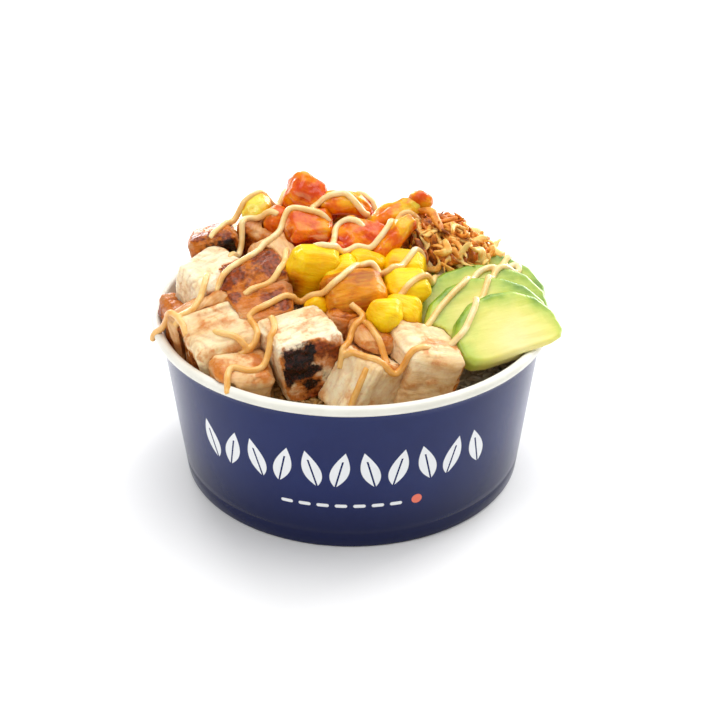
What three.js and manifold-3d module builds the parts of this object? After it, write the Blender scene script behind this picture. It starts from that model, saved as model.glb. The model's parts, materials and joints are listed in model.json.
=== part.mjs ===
// A poke bowl: a paper bowl heaped with diced grilled chicken, mango, tomato, avocado slices and
// fried onion on a bed of rice. Millimetres, +Z up, the bowl's axis on Z and its foot at Z = 0.
// The front of the bowl faces -Y.
import * as THREE from 'three';
import { ConvexGeometry } from 'three/addons/geometries/ConvexGeometry.js';
import { mergeVertices } from 'three/addons/utils/BufferGeometryUtils.js';
import Module from 'manifold-3d';

const wasm = await Module();
wasm.setup();

// ---------------------------------------------------------------- driving dimensions

const bowl = {
  baseRadius: 71.4, // outside, at the foot
  rimRadius: 80.4, // middle of the rolled rim
  rimTube: 2.1, // radius of the roll
  rimHeight: 69.2, // middle of the roll
  wall: 1.0,
  footHeight: 5.5, // the floor sits this far above the foot
  floor: 1.2,
  sides: 44,
};

// The rice is out of sight under the toppings, so its top follows their undersides.
const bed = {
  edgeHeight: 57, // rice at the wall
  heapHeight: 38, // rise of the heap above that
  heapAt: [-8, 20], // where the heap is highest
  heapSpread: 34,
  dipAt: [66, -42], // lower under the avocado
  dip: 7,
  wallGap: 0.6,
  sides: 20,
};

const room = {
  above: 0.4, // food that hangs over the rim clears it by this
  reach: 100,
  top: 140,
  sides: 24,
};

const gap = 0.42; // how far a neighbour is swollen before it is cut away

// Dice and cubes: edge rounding and how uneven the knife work is.
const chickenCut = { chamfer: 2.2, slack: 2.0 };
const mangoCut = { chamfer: 2.8, slack: 1.6 };
const tomatoCut = { chamfer: 2.8, slack: 1.5 };
const tomatoStripCut = { taper: 0.3, slack: 1.5 };

const avocado = { length: 56, depth: 31, thickness: 7, bevel: 1.2, sag: 2.2 };

// ---------------------------------------------------------------- finishes

function finish(color, roughness) {
  return new THREE.MeshStandardMaterial({ color, roughness, metalness: 0 });
}

const finishes = {
  paper: () => finish(0x1f2c60, 0.5),
  rice: () => finish(0xe9dfc8, 0.7),
  chicken: () => finish(0xe2c19a, 0.6),
  mango: () => finish(0xffc400, 0.35),
  tomato: () => finish(0xe2501c, 0.3),
  tomatoStrip: () => finish(0xe8641a, 0.3),
  avocado: () => finish(0xcfe07a, 0.45),
  onion: () => finish(0xb0601c, 0.6),
};

// ---------------------------------------------------------------- small helpers

/** Seeded numbers between -1 and 1. */
function numbersFrom(seed) {
  let state = (seed * 7919 + 12345) % 2147483647;
  return () => {
    state = (state * 48271) % 2147483647;
    return (state / 2147483647) * 2 - 1;
  };
}

/** Keep only positions, with shared corners merged. */
function welded(geometry) {
  const bare = geometry.clone();
  bare.deleteAttribute('normal');
  bare.deleteAttribute('uv');
  return mergeVertices(bare, 1e-4);
}

function reshape(geometry, move) {
  const position = geometry.attributes.position;
  const point = new THREE.Vector3();
  for (let i = 0; i < position.count; i += 1) {
    point.fromBufferAttribute(position, i);
    move(point);
    position.setXYZ(i, point.x, point.y, point.z);
  }
  return geometry;
}

/** The same closed shape, grown outwards by a distance. */
function swollen(geometry, distance) {
  const grown = welded(geometry);
  grown.computeVertexNormals();
  const normal = grown.attributes.normal;
  const position = grown.attributes.position;
  for (let i = 0; i < position.count; i += 1) {
    position.setXYZ(
      i,
      position.getX(i) + normal.getX(i) * distance,
      position.getY(i) + normal.getY(i) * distance,
      position.getZ(i) + normal.getZ(i) * distance,
    );
  }
  return grown;
}

function solidFrom(geometry) {
  const closed = welded(geometry);
  return new wasm.Manifold(new wasm.Mesh({
    numProp: 3,
    vertProperties: new Float32Array(closed.attributes.position.array),
    triVerts: new Uint32Array(closed.index.array),
  }));
}

function geometryFrom(solid) {
  const { vertProperties, triVerts } = solid.getMesh();
  const geometry = new THREE.BufferGeometry();
  geometry.setAttribute('position', new THREE.BufferAttribute(new Float32Array(vertProperties), 3));
  geometry.setIndex(new THREE.BufferAttribute(new Uint32Array(triVerts), 1));
  return geometry;
}

function biggestOf(solid) {
  const parts = solid.decompose();
  return parts.reduce((best, one) => (one.volume() > best.volume() ? one : best), parts[0]);
}

// ---------------------------------------------------------------- bowl and bed

/** Outside radius of the tapered wall at a height. */
function wallRadius(height) {
  const top = bowl.rimRadius + bowl.rimTube * 0.4 - 2.0;
  return bowl.baseRadius + ((top - bowl.baseRadius) * height) / bowl.rimHeight;
}

/** One folded paper piece: recessed floor, foot, tapered wall and rolled rim. */
function bowlShape() {
  const profile = [];
  const add = (radius, height) => profile.push(new THREE.Vector2(radius, height));
  const { footHeight, floor, wall, rimRadius, rimTube, rimHeight } = bowl;
  add(0, footHeight);
  add(wallRadius(0) - 2.4, footHeight);
  add(wallRadius(0) - 2.2, 0.3);
  add(wallRadius(0) - 1.9, 0);
  add(wallRadius(0) - 0.3, 0);
  add(wallRadius(0), 0.3);
  const joint = rimHeight - rimTube * 0.7;
  add(wallRadius(joint), joint);
  for (let turn = -40; turn <= 170; turn += 35) {
    const angle = THREE.MathUtils.degToRad(turn);
    add(rimRadius + rimTube * Math.cos(angle), rimHeight + rimTube * Math.sin(angle));
  }
  add(wallRadius(joint) - wall, joint - 1.2);
  add(wallRadius(footHeight + floor + 1.5) - wall, footHeight + floor + 1.5);
  add(wallRadius(footHeight + floor) - wall - 1.5, footHeight + floor);
  add(0, footHeight + floor);
  return new THREE.LatheGeometry(profile, bowl.sides).rotateX(Math.PI / 2);
}

/** A round swell of height 1 at a place, fading over a spread. */
function swell(x, y, [atX, atY], spread) {
  return Math.exp(-((x - atX) ** 2 + (y - atY) ** 2) / (2 * spread ** 2));
}

/** Height of the rice under the toppings. */
function bedHeight(x, y) {
  const inner = wallRadius(bed.edgeHeight) - bowl.wall;
  const edge = 1 - (Math.hypot(x, y) / inner) ** 6;
  const lumps = 0.8 * Math.sin(x * 0.17 + 1) + 0.8 * Math.cos(y * 0.19 - x * 0.05);
  const heap = bed.heapHeight * swell(x, y, bed.heapAt, bed.heapSpread);
  return bed.edgeHeight + (heap + lumps) * edge - bed.dip * swell(x, y, bed.dipAt, 16);
}

/** Rice from the floor of the bowl to just under the toppings. */
function bedShape() {
  const bottom = bowl.footHeight + bowl.floor + bed.wallGap;
  const inside = (height) => wallRadius(height) - bowl.wall - bed.wallGap - 0.2;
  const profile = [
    new THREE.Vector2(0, bottom),
    new THREE.Vector2(inside(bottom) - 3, bottom),
    new THREE.Vector2(inside(bottom + 2.5), bottom + 2.5),
    new THREE.Vector2(inside(bed.edgeHeight), bed.edgeHeight),
  ];
  for (const share of [0.88, 0.68, 0.46, 0.24, 0]) {
    profile.push(new THREE.Vector2(inside(bed.edgeHeight) * share, bed.edgeHeight + 1));
  }
  const shape = welded(new THREE.LatheGeometry(profile, bed.sides).rotateX(Math.PI / 2));
  return reshape(shape, (point) => {
    if (point.z > bed.edgeHeight + 0.5) point.z = bedHeight(point.x, point.y);
  });
}

// ---------------------------------------------------------------- forms of the food

/** A hand-cut block: edges taken off, corners that the knife left a little out of true. */
function block({ size, chamfer, slack, seed }) {
  const next = numbersFrom(seed);
  const half = size.map((side) => side / 2);
  const cut = Math.min(chamfer, ...half.map((side) => side * 0.6));
  const points = [];
  for (const signX of [-1, 1]) {
    for (const signY of [-1, 1]) {
      for (const signZ of [-1, 1]) {
        const sign = [signX, signY, signZ];
        const off = [next() * slack, next() * slack, next() * slack];
        for (let face = 0; face < 3; face += 1) {
          const point = sign.map((side, axis) => (
            side * (half[axis] - (axis === face ? 0 : cut)) + off[axis]
          ));
          points.push(new THREE.Vector3(...point));
        }
      }
    }
  }
  return welded(new ConvexGeometry(points));
}

/** A curved strip of tomato: tapered to its ends, bent over a radius, its skin side up. */
function strip({ size, bend, taper, slack, seed }) {
  const [length, width, thickness] = size;
  const next = numbersFrom(seed);
  const twist = next() * slack * 0.012;
  const lean = next() * slack;
  const shape = welded(new THREE.BoxGeometry(2, 2, 2, 5, 2, 2));
  return reshape(shape, (point) => {
    const along = point.x;
    const narrow = 1 - taper * along * along;
    const crown = 1 - 0.35 * point.y * point.y;
    const edge = Math.abs(point.z) > 0.5 ? 0.8 : 1;
    const y = (point.y * narrow * edge * width) / 2 + lean * along;
    const z = (point.z * thickness * (0.55 + 0.45 * narrow) * crown) / 2;
    const angle = (along * length) / 2 / bend;
    const roll = twist * along * length;
    const y2 = y * Math.cos(roll) - z * Math.sin(roll);
    const z2 = y * Math.sin(roll) + z * Math.cos(roll);
    point.set((bend + z2) * Math.sin(angle), y2, (bend + z2) * Math.cos(angle) - bend);
  });
}

/** A half-moon slice: flat cut side on X with round corners, skin side towards +Y, slightly sagged. */
function halfMoon({ length, depth, thickness, bevel, sag }) {
  const half = length / 2 - bevel;
  const crown = (depth - 2 * bevel) * 0.68; // from the widest line up to the skin side
  const belly = (depth - 2 * bevel) * 0.32; // and down to the flat side
  const steps = 14;
  const points = [];
  for (let i = 0; i < steps; i += 1) {
    const angle = (2 * Math.PI * (i + 0.5)) / steps;
    const upper = Math.sin(angle) > 0;
    const power = upper ? 1 : 0.5;
    const x = half * Math.sign(Math.cos(angle)) * Math.abs(Math.cos(angle)) ** power;
    const y = (upper ? crown : belly) * Math.sign(Math.sin(angle)) * Math.abs(Math.sin(angle)) ** power;
    points.push(new THREE.Vector2(x, y));
  }
  const shape = welded(new THREE.ExtrudeGeometry(new THREE.Shape(points), {
    depth: thickness - 2 * bevel,
    bevelThickness: bevel,
    bevelSize: bevel,
    bevelSegments: 1,
    steps: 1,
  }));
  shape.translate(0, (belly - crown) / 2, bevel - thickness / 2);
  return reshape(shape, (point) => {
    point.z -= sag * ((2 * point.x) / length) ** 2 + sag * 0.4 * ((2 * point.y) / depth) ** 2;
  });
}

/** A loose heap seen as one body: a low dome with a broken, strand-like surface. */
function heap({ size, seed }) {
  const next = numbersFrom(seed);
  const phase = [next() * 3, next() * 3, next() * 3];
  const shape = welded(new THREE.SphereGeometry(1, 16, 9));
  return reshape(shape, (point) => {
    const { x, y, z } = point;
    const rough = 1
      + 0.07 * Math.sin(9 * x + phase[0]) * Math.sin(8 * y + phase[1])
      + 0.06 * Math.sin(13 * y + 7 * x + phase[2]) * Math.cos(6 * z);
    point.set(x * size[0] * rough * 0.5, y * size[1] * rough * 0.5, z * size[2] * rough * 0.5);
  });
}

// ---------------------------------------------------------------- what lies where
//
// at: middle of the piece. turn: degrees about X, then Y, then Z. Earlier pieces keep their whole
// shape, and later ones are pressed away where they meet them.

const pieces = [
  // Chicken across the front, left to right
  { name: 'chicken_01', kind: 'chicken', size: [27, 25, 28], at: [-18.5, -43, 72], turn: [4, -11, 25] },
  { name: 'chicken_02', kind: 'chicken', size: [25, 24, 24], at: [-51, -37, 72], turn: [15, -8, 28] },
  { name: 'chicken_03', kind: 'chicken', size: [24, 24, 26], at: [5, -54, 65], turn: [0, 32, 35] },
  { name: 'chicken_04', kind: 'chicken', size: [26, 26, 25], at: [27, -46, 67], turn: [0, 18, 15] },
  { name: 'chicken_05', kind: 'chicken', size: [22, 20, 20], at: [-41.5, -53, 64], turn: [10, 5, 14] },
  // Mango in the middle
  { name: 'mango_01', kind: 'mango', size: [19, 14, 25], at: [-18, -11, 90], turn: [10, 15, 20] },
  { name: 'mango_02', kind: 'mango', size: [14, 14, 16], at: [-6, -9, 88], turn: [10, 0, 10] },
  { name: 'mango_03', kind: 'mango', size: [15, 12, 12], at: [6, -2, 89], turn: [10, 0, -10] },
  { name: 'mango_04', kind: 'mango', size: [24, 18, 15], at: [1, -22, 86], turn: [30, -10, 10] },
  { name: 'mango_05', kind: 'mango', size: [16, 13, 12], at: [21, -2, 89], turn: [10, 0, -10] },
  { name: 'mango_06', kind: 'mango', size: [16, 14, 14], at: [22, -16, 86], turn: [20, 10, 10] },
  { name: 'mango_07', kind: 'mango', size: [13, 12, 24], at: [12, -35, 80], turn: [25, 10, 15] },
  { name: 'mango_08', kind: 'mango', size: [14, 14, 16], at: [20, -29, 80], turn: [20, 10, -20] },
  { name: 'mango_12', kind: 'mango', size: [13, 11, 12], at: [-13, -24, 82], turn: [20, 0, 30] },
  // Tomato on top
  { name: 'tomato_01', kind: 'tomato', size: [18, 13, 13], at: [-19, 30, 106.5], turn: [20, 30, 0] },
  { name: 'tomato_02', kind: 'tomato', size: [20, 16, 15], at: [-19, 14, 97], turn: [20, 5, 20] },
  { name: 'tomato_03', kind: 'tomato', size: [12, 10, 10], at: [-40, 26, 101], turn: [0, -10, 20] },
  { name: 'tomato_04', kind: 'tomatoStrip', size: [23, 11, 8], bend: 13, at: [-4.5, 24, 106], turn: [20, 0, 0] },
  { name: 'tomato_05', kind: 'tomatoStrip', size: [24, 17, 10], bend: 16, at: [2, 9, 97], turn: [30, 0, 0] },
  { name: 'tomato_06', kind: 'tomatoStrip', size: [24, 10, 7], bend: 40, at: [16, 24, 100], turn: [20, -25, 20] },
  { name: 'tomato_07', kind: 'tomato', size: [8, 7, 8], at: [28.5, 29, 103.5], turn: [10, 35, 20] },
  { name: 'tomato_08', kind: 'tomatoStrip', size: [28, 10, 8], bend: 40, at: [15, 6, 96], turn: [20, -35, 30] },
  { name: 'tomato_09', kind: 'tomato', size: [10, 12, 16], at: [-31, 18, 98], turn: [10, 10, 0] },
  { name: 'tomato_13', kind: 'tomato', size: [13, 11, 13], at: [-6, 1, 91], turn: [10, 5, 25] },
  // Avocado fanned out on the right, the uppermost slice first
  { name: 'avocado_01', kind: 'avocado', length: 48, depth: 28, at: [60, -32, 78.5], turn: [32, 0, 31] },
  { name: 'avocado_02', kind: 'avocado', length: 54, at: [53, -21, 78], turn: [32, 0, 22] },
  { name: 'avocado_03', kind: 'avocado', at: [52, -9, 78], turn: [32, 0, 14] },
  { name: 'avocado_04', kind: 'avocado', length: 52, at: [54, 4, 77], turn: [30, 0, 2] },
  // Fried onion behind the avocado
  { name: 'onion_heap', kind: 'onion', size: [44, 34, 22], at: [42, 18, 86], turn: [10, 22, 0] },
  // Chicken up the left side
  { name: 'chicken_06', kind: 'chicken', size: [27, 22, 22], at: [-56, -6, 82], turn: [5, -5, 48] },
  { name: 'chicken_07', kind: 'chicken', size: [25, 12, 20], at: [-61, -26, 76], turn: [0, -15, 48] },
  { name: 'chicken_08', kind: 'chicken', size: [17, 18, 22], at: [-69, -13, 69], turn: [5, 6, 30] },
  { name: 'chicken_09', kind: 'chicken', size: [19, 18, 18], at: [-56, 16, 88], turn: [0, -10, 10] },
  { name: 'chicken_10', kind: 'chicken', size: [20, 20, 20], at: [-37, 22, 89], turn: [10, 10, -20] },
  { name: 'chicken_11', kind: 'chicken', size: [28, 20, 20], at: [-41, -12, 83], turn: [15, -12, 25] },
  { name: 'chicken_12', kind: 'chicken', size: [18, 18, 20], at: [-31, 3, 88], turn: [15, 0, 30] },
  { name: 'chicken_13', kind: 'chicken', size: [24, 18, 18], at: [-35, -28, 79], turn: [10, -5, 10] },
  { name: 'chicken_14', kind: 'chicken', size: [20, 19, 22], at: [8, -40, 72], turn: [10, 5, 30] },
  { name: 'chicken_15', kind: 'chicken', size: [15, 15, 16], at: [-2, -31, 78], turn: [10, 5, 10] },
  // Round the back, out of sight from the front
  { name: 'tomato_10', kind: 'tomato', size: [18, 14, 14], at: [-22, 43, 95], turn: [-20, 0, 30] },
  { name: 'tomato_11', kind: 'tomatoStrip', size: [24, 15, 9], bend: 16, at: [-3, 39, 98], turn: [-30, 0, 20] },
  { name: 'tomato_12', kind: 'tomato', size: [17, 14, 13], at: [11, 42, 86], turn: [-20, 10, 10] },
  { name: 'chicken_16', kind: 'chicken', size: [22, 22, 20], at: [-59, 26, 67], turn: [0, 8, 20] },
  { name: 'chicken_17', kind: 'chicken', size: [24, 22, 22], at: [-42, 44, 77], turn: [-15, -5, 40] },
  { name: 'chicken_18', kind: 'chicken', size: [24, 24, 22], at: [-29, 60, 74], turn: [-20, 5, 10] },
  { name: 'chicken_19', kind: 'chicken', size: [25, 22, 20], at: [-3, 62, 73], turn: [-18, 0, -15] },
  { name: 'chicken_20', kind: 'chicken', size: [24, 22, 22], at: [26, 58, 68], turn: [-15, 10, 20] },
  { name: 'chicken_21', kind: 'chicken', size: [20, 20, 19], at: [46, 54, 64], turn: [-10, 12, 40] },
  { name: 'mango_09', kind: 'mango', size: [17, 15, 15], at: [-11, 51, 86], turn: [-25, 0, 20] },
  { name: 'mango_10', kind: 'mango', size: [17, 14, 14], at: [25, 42, 84], turn: [-20, 10, -20] },
  { name: 'mango_11', kind: 'mango', size: [16, 15, 14], at: [42, 41, 78], turn: [-15, 15, 30] },
  { name: 'mango_13', kind: 'mango', size: [15, 13, 14], at: [7, 54, 80], turn: [-20, 5, 35] },
  { name: 'avocado_05', kind: 'avocado', length: 50, at: [60, 27, 71], turn: [-14, 16, -60] },
];

// ---------------------------------------------------------------- putting it together

/** The space that food may fill: inside the wall, and above the rim as far as it hangs over. */
function roomShape() {
  const inside = (height) => wallRadius(height) - bowl.wall - bed.wallGap;
  const bottom = bowl.footHeight + bowl.floor + bed.wallGap;
  const lip = bowl.rimHeight + bowl.rimTube + room.above;
  const mouth = inside(bowl.rimHeight - bowl.rimTube);
  const profile = [[0, bottom], [inside(bottom) - 3, bottom], [mouth, bowl.rimHeight - bowl.rimTube]];
  profile.push([mouth, lip], [room.reach, lip], [room.reach, room.top], [0, room.top]);
  const outline = profile.map(([radius, height]) => new THREE.Vector2(radius, height));
  return new THREE.LatheGeometry(outline, room.sides).rotateX(Math.PI / 2);
}

const forms = {
  chicken: (piece) => block({ ...chickenCut, ...piece }),
  mango: (piece) => block({ ...mangoCut, ...piece }),
  tomato: (piece) => block({ ...tomatoCut, ...piece }),
  tomatoStrip: (piece) => strip({ ...tomatoStripCut, ...piece }),
  avocado: (piece) => halfMoon({ ...avocado, ...piece }),
  onion: (piece) => heap(piece),
};

function placement({ at, turn }) {
  const holder = new THREE.Object3D();
  holder.position.set(...at);
  holder.rotation.set(...turn.map(THREE.MathUtils.degToRad), 'ZYX');
  holder.updateMatrix();
  return holder;
}

function meets(one, other) {
  return one.clone().expandByScalar(1).intersectsBox(other);
}

function boxOf(geometry) {
  geometry.computeBoundingBox();
  return geometry.boundingBox;
}

function namedMesh(name, geometry, material) {
  const mesh = new THREE.Mesh(geometry, material);
  mesh.name = name;
  return mesh;
}

const pokeBowl = new THREE.Group();
pokeBowl.add(namedMesh('bowl', bowlShape(), finishes.paper()));

const bedGeometry = bedShape();
pokeBowl.add(namedMesh('rice_bed', bedGeometry, finishes.rice()));

const insideBowl = solidFrom(roomShape());
const settled = [{ box: boxOf(bedGeometry), cutter: solidFrom(swollen(bedGeometry, gap)) }];
pieces.forEach((piece, index) => {
  const holder = placement(piece);
  const whole = forms[piece.kind]({ seed: index + 1, ...piece }).applyMatrix4(holder.matrix);
  const box = boxOf(whole).clone();
  let solid = solidFrom(whole).intersect(insideBowl);
  for (const neighbour of settled) {
    if (meets(box, neighbour.box)) solid = solid.subtract(neighbour.cutter);
  }
  settled.push({ box, cutter: solidFrom(swollen(whole, gap)) });
  const shape = geometryFrom(biggestOf(solid)).applyMatrix4(holder.matrix.clone().invert());
  const mesh = namedMesh(piece.name, shape, finishes[piece.kind]());
  mesh.position.copy(holder.position);
  mesh.rotation.copy(holder.rotation);
  pokeBowl.add(mesh);
});

export default pokeBowl;
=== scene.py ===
"""A poke bowl: a navy paper bowl heaped with grilled chicken cubes, mango dice, tomato, a fan of
avocado slices, fried onion and a thin drizzle of sauce, on rice.

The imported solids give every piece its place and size, and this script gives each its surface and
finish. Lengths are written in millimetres and made metres at the point of use. Z is up and the
printed front of the bowl faces -Y.
"""

import itertools
import json
import math

import bmesh
import bpy
import numpy as np
from mathutils import Euler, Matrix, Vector
from mathutils.bvhtree import BVHTree

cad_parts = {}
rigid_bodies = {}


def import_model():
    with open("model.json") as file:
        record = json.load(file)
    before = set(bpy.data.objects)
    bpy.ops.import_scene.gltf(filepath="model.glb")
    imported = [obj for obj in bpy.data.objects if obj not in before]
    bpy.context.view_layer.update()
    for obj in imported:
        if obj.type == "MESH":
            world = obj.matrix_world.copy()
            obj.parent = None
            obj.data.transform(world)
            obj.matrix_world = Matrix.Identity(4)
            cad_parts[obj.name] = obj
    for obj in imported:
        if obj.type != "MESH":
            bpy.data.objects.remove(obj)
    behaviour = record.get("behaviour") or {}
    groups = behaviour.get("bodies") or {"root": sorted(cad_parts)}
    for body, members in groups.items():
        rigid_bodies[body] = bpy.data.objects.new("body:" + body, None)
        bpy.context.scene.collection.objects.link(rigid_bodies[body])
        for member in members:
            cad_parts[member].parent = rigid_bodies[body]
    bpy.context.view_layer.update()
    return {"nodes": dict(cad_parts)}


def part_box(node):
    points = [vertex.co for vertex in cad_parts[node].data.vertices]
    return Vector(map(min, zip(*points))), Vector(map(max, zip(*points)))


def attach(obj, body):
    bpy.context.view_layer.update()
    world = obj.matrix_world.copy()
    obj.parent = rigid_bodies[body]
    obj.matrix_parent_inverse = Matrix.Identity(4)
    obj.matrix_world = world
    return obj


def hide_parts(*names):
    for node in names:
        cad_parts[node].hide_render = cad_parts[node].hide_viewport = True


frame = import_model()
scene = bpy.context.scene
MM = 0.001

# ---- what each piece looks like
#
# Each list is in the order of the pieces' numbers.
#
# turn: how the piece lies, in degrees about X, then Y, then Z. grain: the piece's own axis that the
# meat fibres follow. tone: how warm the meat is all over. left to top: how brown each side is.
# charred: how black each side is. burnt_from: the middle of the burnt patch, from the middle of the
# piece.

SIDES = {
    "left": (-1, 0, 0),
    "right": (1, 0, 0),
    "front": (0, -1, 0),
    "back": (0, 1, 0),
    "under": (0, 0, -1),
    "top": (0, 0, 1),
}

CHICKEN = [
    dict(
        turn=(4, -11, 25), tone=-0.03, front=0.75, left=0.12,
        charred={"front": 1.35}, burnt_from=(-10, -15, 4),
    ),
    dict(turn=(15, -8, 28), tone=0.2, left=0.6, top=0.12, front=0.1),
    dict(turn=(0, 32, 35), tone=0.12, grain="z", back=0.7, top=0.3),
    dict(turn=(0, 18, 15), tone=0.2, right=0.85, top=0.08),
    dict(turn=(10, 5, 14), tone=0.36, under=0.8, top=0.3),
    dict(turn=(5, -5, 48), tone=-0.15, right=0.6, under=0.7, front=0.62),
    dict(turn=(0, -15, 48), tone=0.55, back=0.6),
    dict(turn=(5, 6, 30), tone=0.8, top=0.7, left=0.8),
    dict(turn=(0, -10, 10), tone=0.8, front=1.2, top=1.1, charred={"front": 0.9}),
    dict(turn=(10, 10, -20), tone=0.75, grain="y", front=1.0, right=0.5),
    dict(turn=(15, -12, 25), tone=0.7, top=1.15, charred={"top": 0.25}),
    dict(turn=(15, 0, 30), tone=0.45, grain="y", back=0.6),
    dict(turn=(10, -5, 10), tone=0.85, top=0.9),
    dict(turn=(10, 5, 30), tone=0.65, grain="y", top=0.75),
    dict(turn=(10, 5, 10), tone=0.85, top=0.8, front=0.5),
    dict(turn=(0, 8, 20), tone=0.4, grain="y", left=0.8),
    dict(turn=(-15, -5, 40), tone=0.3, back=0.9, charred={"back": 0.5}),
    dict(turn=(-20, 5, 10), tone=0.15, left=0.7),
    dict(turn=(-18, 0, -15), tone=0.25, grain="y", top=0.8),
    dict(turn=(-15, 10, 20), tone=0.1, right=0.8, charred={"right": 0.4}),
    dict(turn=(-10, 12, 40), tone=0.45, grain="y", back=0.7),
]

# amber: how deep the yellow has turned, with painted shade added on pieces that lie in shade.
# hollow: the middle of a dip in the piece, from the middle of the piece, and its reach; the dip is
# painted deeper amber as shade.
MANGO = [
    dict(turn=(10, 15, 20), amber=0.1, hollow=((-7, -8, -3), 10)),
    dict(turn=(10, 0, 10), amber=0.0),
    dict(turn=(10, 0, -10), amber=0.0),
    # this dice's deep amber is partly painted shade, as it lies in shade
    dict(turn=(30, -10, 10), amber=0.75),
    dict(turn=(10, 0, -10), amber=0.1),
    dict(turn=(20, 10, 10), amber=0.0),
    dict(turn=(25, 10, 15), amber=0.05),
    dict(turn=(20, 10, -20), amber=0.1),
    dict(turn=(-25, 0, 20), amber=0.3),
    dict(turn=(-20, 10, -20), amber=0.1),
    dict(turn=(-15, 15, 30), amber=0.5),
    dict(turn=(20, 0, 30), amber=0.2),
    dict(turn=(-20, 5, 35), amber=0.2),
]

# ripe: 0 yellow-green, 0.5 orange, 1 red. left to top: the sides that are cut through.
TOMATO = [
    dict(turn=(20, 30, 0), ripe=0.66, front=1.0, right=0.6),
    dict(turn=(20, 5, 20), ripe=0.7, front=1.0, left=1.0),
    dict(turn=(0, -10, 20), ripe=0.04, front=0.5),
    dict(turn=(20, 0, 0), ripe=0.5, under=0.6),
    dict(turn=(30, 0, 0), ripe=0.62, under=0.6),
    dict(turn=(20, -25, 20), ripe=0.36, under=0.6),
    dict(turn=(10, 35, 20), ripe=0.45, left=0.4),
    dict(turn=(20, -35, 30), ripe=0.5, under=0.8),
    dict(turn=(10, 10, 0), ripe=0.45, right=0.4),
    dict(turn=(-20, 0, 30), ripe=0.9, back=1.0),
    dict(turn=(-30, 0, 20), ripe=0.7, under=0.6),
    dict(turn=(-20, 10, 10), ripe=0.85, back=0.8),
    dict(turn=(10, 5, 25), ripe=0.8, front=0.6),
]

# at: middle of the slice. Its own X runs along the flat side and its own Y points to the skin.
AVOCADO = [
    dict(at=(60, -32, 78.5), turn=(32, 0, 31), length=48, depth=28),
    dict(at=(53, -21, 78), turn=(32, 0, 22), length=54, depth=31),
    dict(at=(52, -9, 78), turn=(32, 0, 14), length=56, depth=31),
    dict(at=(54, 4, 77), turn=(30, 0, 2), length=52, depth=31),
    dict(at=(60, 27, 71), turn=(-14, 16, -60), length=50, depth=31),
]

# The drizzle: where each strand of sauce passes, seen from above, as a hand moves over the bowl.
STRANDS = {
    "over the left rim": [(-80, -22), (-74, -27), (-67, -36), (-63, -43)],
    "down the left": [(-57, -13), (-58, -23), (-62, -32), (-68, -36)],
    "top to left": [
        (-9, 15), (-16, 15), (-21, 15), (-26, 14), (-28, 10), (-31, 5),
        (-36, 0), (-40, -7), (-45, -10), (-50, -15), (-53, -20),
    ],
    "over the dark cube": [
        (-30, 15), (-36, 18), (-42, 19), (-45, 16), (-45, 11), (-47, 6), (-50, 0),
    ],
    "highest arch": [
        (-17, 15), (-15, 21), (-11, 22), (-6, 23), (-3, 24), (0, 21), (4, 19), (7, 21),
    ],
    "round the tomato": [(-8, -9), (-7, 4), (-6, 11), (-3, 13), (1, 12), (5, 9)],
    "onion to mango": [
        (31, 24), (24, 22), (20, 20), (16, 10), (12, 5), (8, 2), (-2, -1), (-8, -9), (-15, -9),
    ],
    "beside the mango": [(-26, 0), (-27, -8), (-29, -18), (-36, -23), (-42, -26)],
    "long one to the onion": [
        (-40, -37), (-31, -31), (-20, -24), (-12, -26), (-7, -25), (-2, -20), (3, -11), (9, -8),
        (15, -15), (21, -8), (24, -4), (28, 4), (33, 3), (37, 4),
    ],
    "short loop": [(-39, -37), (-36, -44), (-38, -48), (-43, -49)],
    "long loop": [
        (-32, -37), (-29, -45), (-30, -51), (-33, -57), (-39, -60), (-45, -58), (-47, -63),
        (-46, -68),
    ],
    "fork, left": [(0, -31), (3, -33), (5, -39), (1, -43), (-2, -51), (-4, -56)],
    "fork, right": [(5, -39), (9, -46), (12, -50), (14, -56)],
    "between the front cubes": [
        (-2, -54), (3, -57), (7, -60), (11, -62), (15, -62.5), (19, -61), (24, -58), (27, -55),
        (30, -52),
    ],
    "smear on the left cube": [(-53, -43), (-49, -46), (-45, -46), (-41, -48), (-38, -47)],
    "down the front cube": [(6, -63), (3, -67), (-1, -70)],
    "avocado loop": [
        (60, 2), (63, 6), (66, 10), (70, 11), (69, 6), (64, 4), (59, 0), (55, -10), (51, -22),
        (48, -32), (43, -42), (38, -47),
    ],
    "across the avocado": [(61, 3), (52, -1), (46, -12), (37, -23), (29, -35)],
    "beside the avocado": [(40, 6), (36, 0), (30, -14), (24, -21), (19, -27)],
    "behind, left": [(-58, 8), (-50, 22), (-38, 30), (-28, 42), (-33, 55), (-44, 50)],
    "behind, middle": [
        (-24, 34), (-14, 46), (2, 44), (14, 36), (24, 44), (20, 58), (4, 62), (-8, 58),
    ],
    "behind, right": [(34, 30), (40, 42), (52, 38), (58, 26), (66, 18), (60, 6)],
}

# ---- meshes

FRESH = 31.7  # how far each seed carries a piece's coordinates into the noise


def smooth_step(low, high, value):
    """0 at low, 1 at high, smooth between, whichever is larger."""
    part = np.clip((value - low) / (high - low), 0.0, 1.0)
    return part * part * (3 - 2 * part)


def noise(points, seed):
    """Smooth noise from -1 to 1 at each point, with one swell to a unit."""
    cell = np.floor(points).astype(np.int64)
    part = points - cell
    part = part * part * (3 - 2 * part)
    total = np.zeros(len(points))
    for corner in itertools.product((0, 1), repeat=3):
        at = cell + np.array(corner)
        key = (at[:, 0] * 73856093) ^ (at[:, 1] * 19349663) ^ (at[:, 2] * 83492791) ^ (seed * 9973)
        value = (np.sin((key % 100003) * 12.9898) * 43758.5453) % 1.0 * 2 - 1
        total += value * np.prod(np.where(np.array(corner), part, 1 - part), axis=1)
    return total


def added(name, mesh):
    piece = bpy.data.objects.new(name, mesh)
    scene.collection.objects.link(piece)
    return piece


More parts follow.
